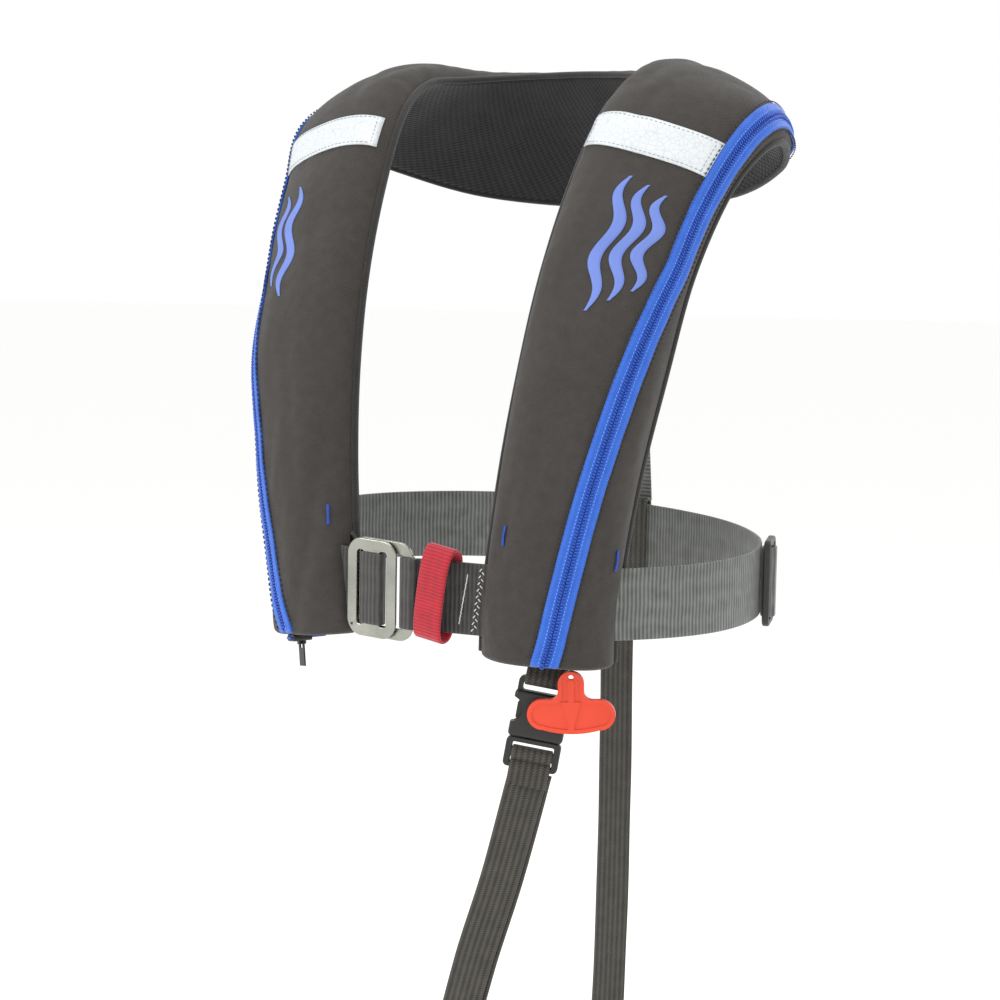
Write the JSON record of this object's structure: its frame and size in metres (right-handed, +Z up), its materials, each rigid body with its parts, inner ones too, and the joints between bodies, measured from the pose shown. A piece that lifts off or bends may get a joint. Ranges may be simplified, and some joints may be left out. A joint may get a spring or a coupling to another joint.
{
  "type": "inflatable life jacket",
  "caption": "Horseshoe inflatable life jacket with zipped cover, waist belt, steel plate buckle, tether loop, crotch strap and pull toggle.",
  "frame": {"origin": "middle of the neck opening, level with the top of the yoke, where the jacket rests on the shoulders", "axes": "+Z up, the wearer faces -Y, the wearer's left is +X"},
  "size_m": [0.3518, 0.2739, 0.7496],
  "materials": {
    "cover_cloth": "woven, matte",
    "back_mesh": "open mesh, matte",
    "zip_tape": "woven, matte",
    "zip_coil": "satin",
    "zip_metal": "satin",
    "reflective": "retroreflective",
    "belt_webbing": "ribbed, satin",
    "strap_webbing": "ribbed, satin",
    "red_webbing": "ribbed, satin",
    "steel": "tumbled",
    "black_plastic": "moulded",
    "handle_plastic": "moulded",
    "lanyard": "braided",
    "yellow_plastic": "moulded",
    "cylinder_steel": "satin",
    "green_plastic": "moulded",
    "tube_rubber": "matte",
    "orange_plastic": "moulded",
    "float_cloth": "coated",
    "blue_thread": "stitched"
  },
  "bodies": {
    "jacket": {"cover_left": "cover_cloth", "cover_right": "cover_cloth", "cover_collar": "cover_cloth", "back_panel_left": "back_mesh", "back_panel_right": "back_mesh", "back_panel_collar": "back_mesh", "zip_tape": "zip_tape", "zip_coil": "zip_coil", "zip_tail": "zip_coil", "reflective_patch_left": "reflective", "reflective_patch_right": "reflective", "waist_belt_left": "belt_webbing", "waist_belt_right": "belt_webbing", "ring_webbing_turn": "belt_webbing", "buckle_ring": "steel", "tether_loop": "red_webbing", "clip_socket": "black_plastic", "back_strap": "strap_webbing", "belt_tunnel": "strap_webbing", "strap_tab": "strap_webbing", "crotch_strap_rear": "strap_webbing", "inflator_body": "yellow_plastic", "oral_tube": "tube_rubber", "oral_valve": "black_plastic", "whistle": "orange_plastic", "bladder": "float_cloth", "bladder_roll_left": "float_cloth", "bladder_roll_right": "float_cloth", "bar_tacks": "blue_thread", "status_label": "float_cloth"},
    "clip_plug": {"clip_plug": "black_plastic", "ladder_webbing": "strap_webbing", "crotch_strap_front": "strap_webbing", "crotch_strap_tail": "strap_webbing"},
    "clip_arm_left": {"clip_arm_left": "black_plastic"},
    "clip_arm_right": {"clip_arm_right": "black_plastic"},
    "pull_handle": {"pull_handle": "handle_plastic", "pull_cord": "lanyard"},
    "lever": {"inflator_lever": "handle_plastic"},
    "firing_pin": {"firing_pin": "steel"},
    "zip_slider": {"zip_slider": "zip_metal"},
    "zip_puller": {"zip_puller": "zip_metal"},
    "front_plate": {"buckle_frame": "steel", "frame_webbing_turn": "belt_webbing"},
    "side_adjuster": {"side_adjuster": "black_plastic", "adjuster_webbing_turn": "belt_webbing"},
    "gas_cylinder": {"co2_cylinder": "cylinder_steel"},
    "sensor_cap": {"sensor_cap": "green_plastic"},
    "oral_cap": {"oral_cap": "black_plastic"},
    "oral_poppet": {"oral_poppet": "green_plastic"}
  },
  "joints": [
    {"name": "clip_release", "type": "slide", "parent": "jacket", "child": "clip_plug", "axis": [-0.1561, -0.0936, -0.9833], "range_m": [0, 0.034]},
    {"name": "arm_left_squeeze", "type": "hinge", "parent": "clip_plug", "child": "clip_arm_left", "pos_m": [0.08437, -0.09884, -0.42815], "axis": [0.4671, -0.8842, 0.0101], "range_deg": [0, 7.5], "stiffness_Nm_per_rad": 0.05},
    {"name": "arm_right_squeeze", "type": "hinge", "parent": "clip_plug", "child": "clip_arm_right", "pos_m": [0.06661, -0.10817, -0.42444], "axis": [-0.4671, 0.8842, -0.0101], "range_deg": [0, 7.5], "stiffness_Nm_per_rad": 0.05},
    {"name": "handle_pull", "type": "slide", "parent": "jacket", "child": "pull_handle", "axis": [-0.0428, 0.0872, -0.9953], "range_m": [0, 0.024]},
    {"name": "lever_swing", "type": "hinge", "parent": "jacket", "child": "lever", "pos_m": [0.08896, -0.12146, -0.29488], "axis": [-0.4611, 0.8729, -0.1594], "range_deg": [0, 75]},
    {"name": "pin_strike", "type": "slide", "parent": "jacket", "child": "firing_pin", "axis": [0.1228, 0.2407, 0.9628], "range_m": [0, 0.003]},
    {"name": "zip_run", "type": "slide", "parent": "jacket", "child": "zip_slider", "axis": [0.4648, 0.885, 0.0277], "range_m": [0, 0.009]},
    {"name": "zip_puller_swing", "type": "hinge", "parent": "zip_slider", "child": "zip_puller", "pos_m": [-0.09063, -0.11678, -0.37603], "axis": [0.882, -0.4655, 0.0735], "range_deg": [-85, 85]},
    {"name": "front_plate_tilt", "type": "hinge", "parent": "jacket", "child": "front_plate", "pos_m": [-0.04583, -0.12434, -0.33468], "axis": [-0.0592, 0.0593, -0.9965], "range_deg": [0, 45]},
    {"name": "adjuster_travel", "type": "hinge", "parent": "jacket", "child": "side_adjuster", "pos_m": [0.05082, -0.0022, -0.33315], "axis": [0.0592, -0.0593, 0.9965], "range_deg": [-5, 5]},
    {"name": "cylinder_unscrew", "type": "hinge", "parent": "jacket", "child": "gas_cylinder", "pos_m": [0.10544, -0.10334, -0.23452], "axis": [0.1228, 0.2407, 0.9628], "continuous": true},
    {"name": "sensor_cap_unscrew", "type": "hinge", "parent": "jacket", "child": "sensor_cap", "pos_m": [0.08063, -0.11801, -0.27131], "axis": [0.8788, 0.4244, -0.2182], "continuous": true},
    {"name": "oral_cap_pull", "type": "slide", "parent": "jacket", "child": "oral_cap", "axis": [-0.1199, 0.2349, 0.9646], "range_m": [0, 0.012]},
    {"name": "oral_valve_press", "type": "slide", "parent": "jacket", "child": "oral_poppet", "axis": [0.1199, -0.2349, -0.9646], "range_m": [0, 0.004], "stiffness_N_per_m": 120}
  ],
  "couplings": [
    {"joint": "lever_swing", "follows": "handle_pull", "rad_per_m": 54.5},
    {"joint": "pin_strike", "follows": "handle_pull", "ratio": 0.12}
  ]
}
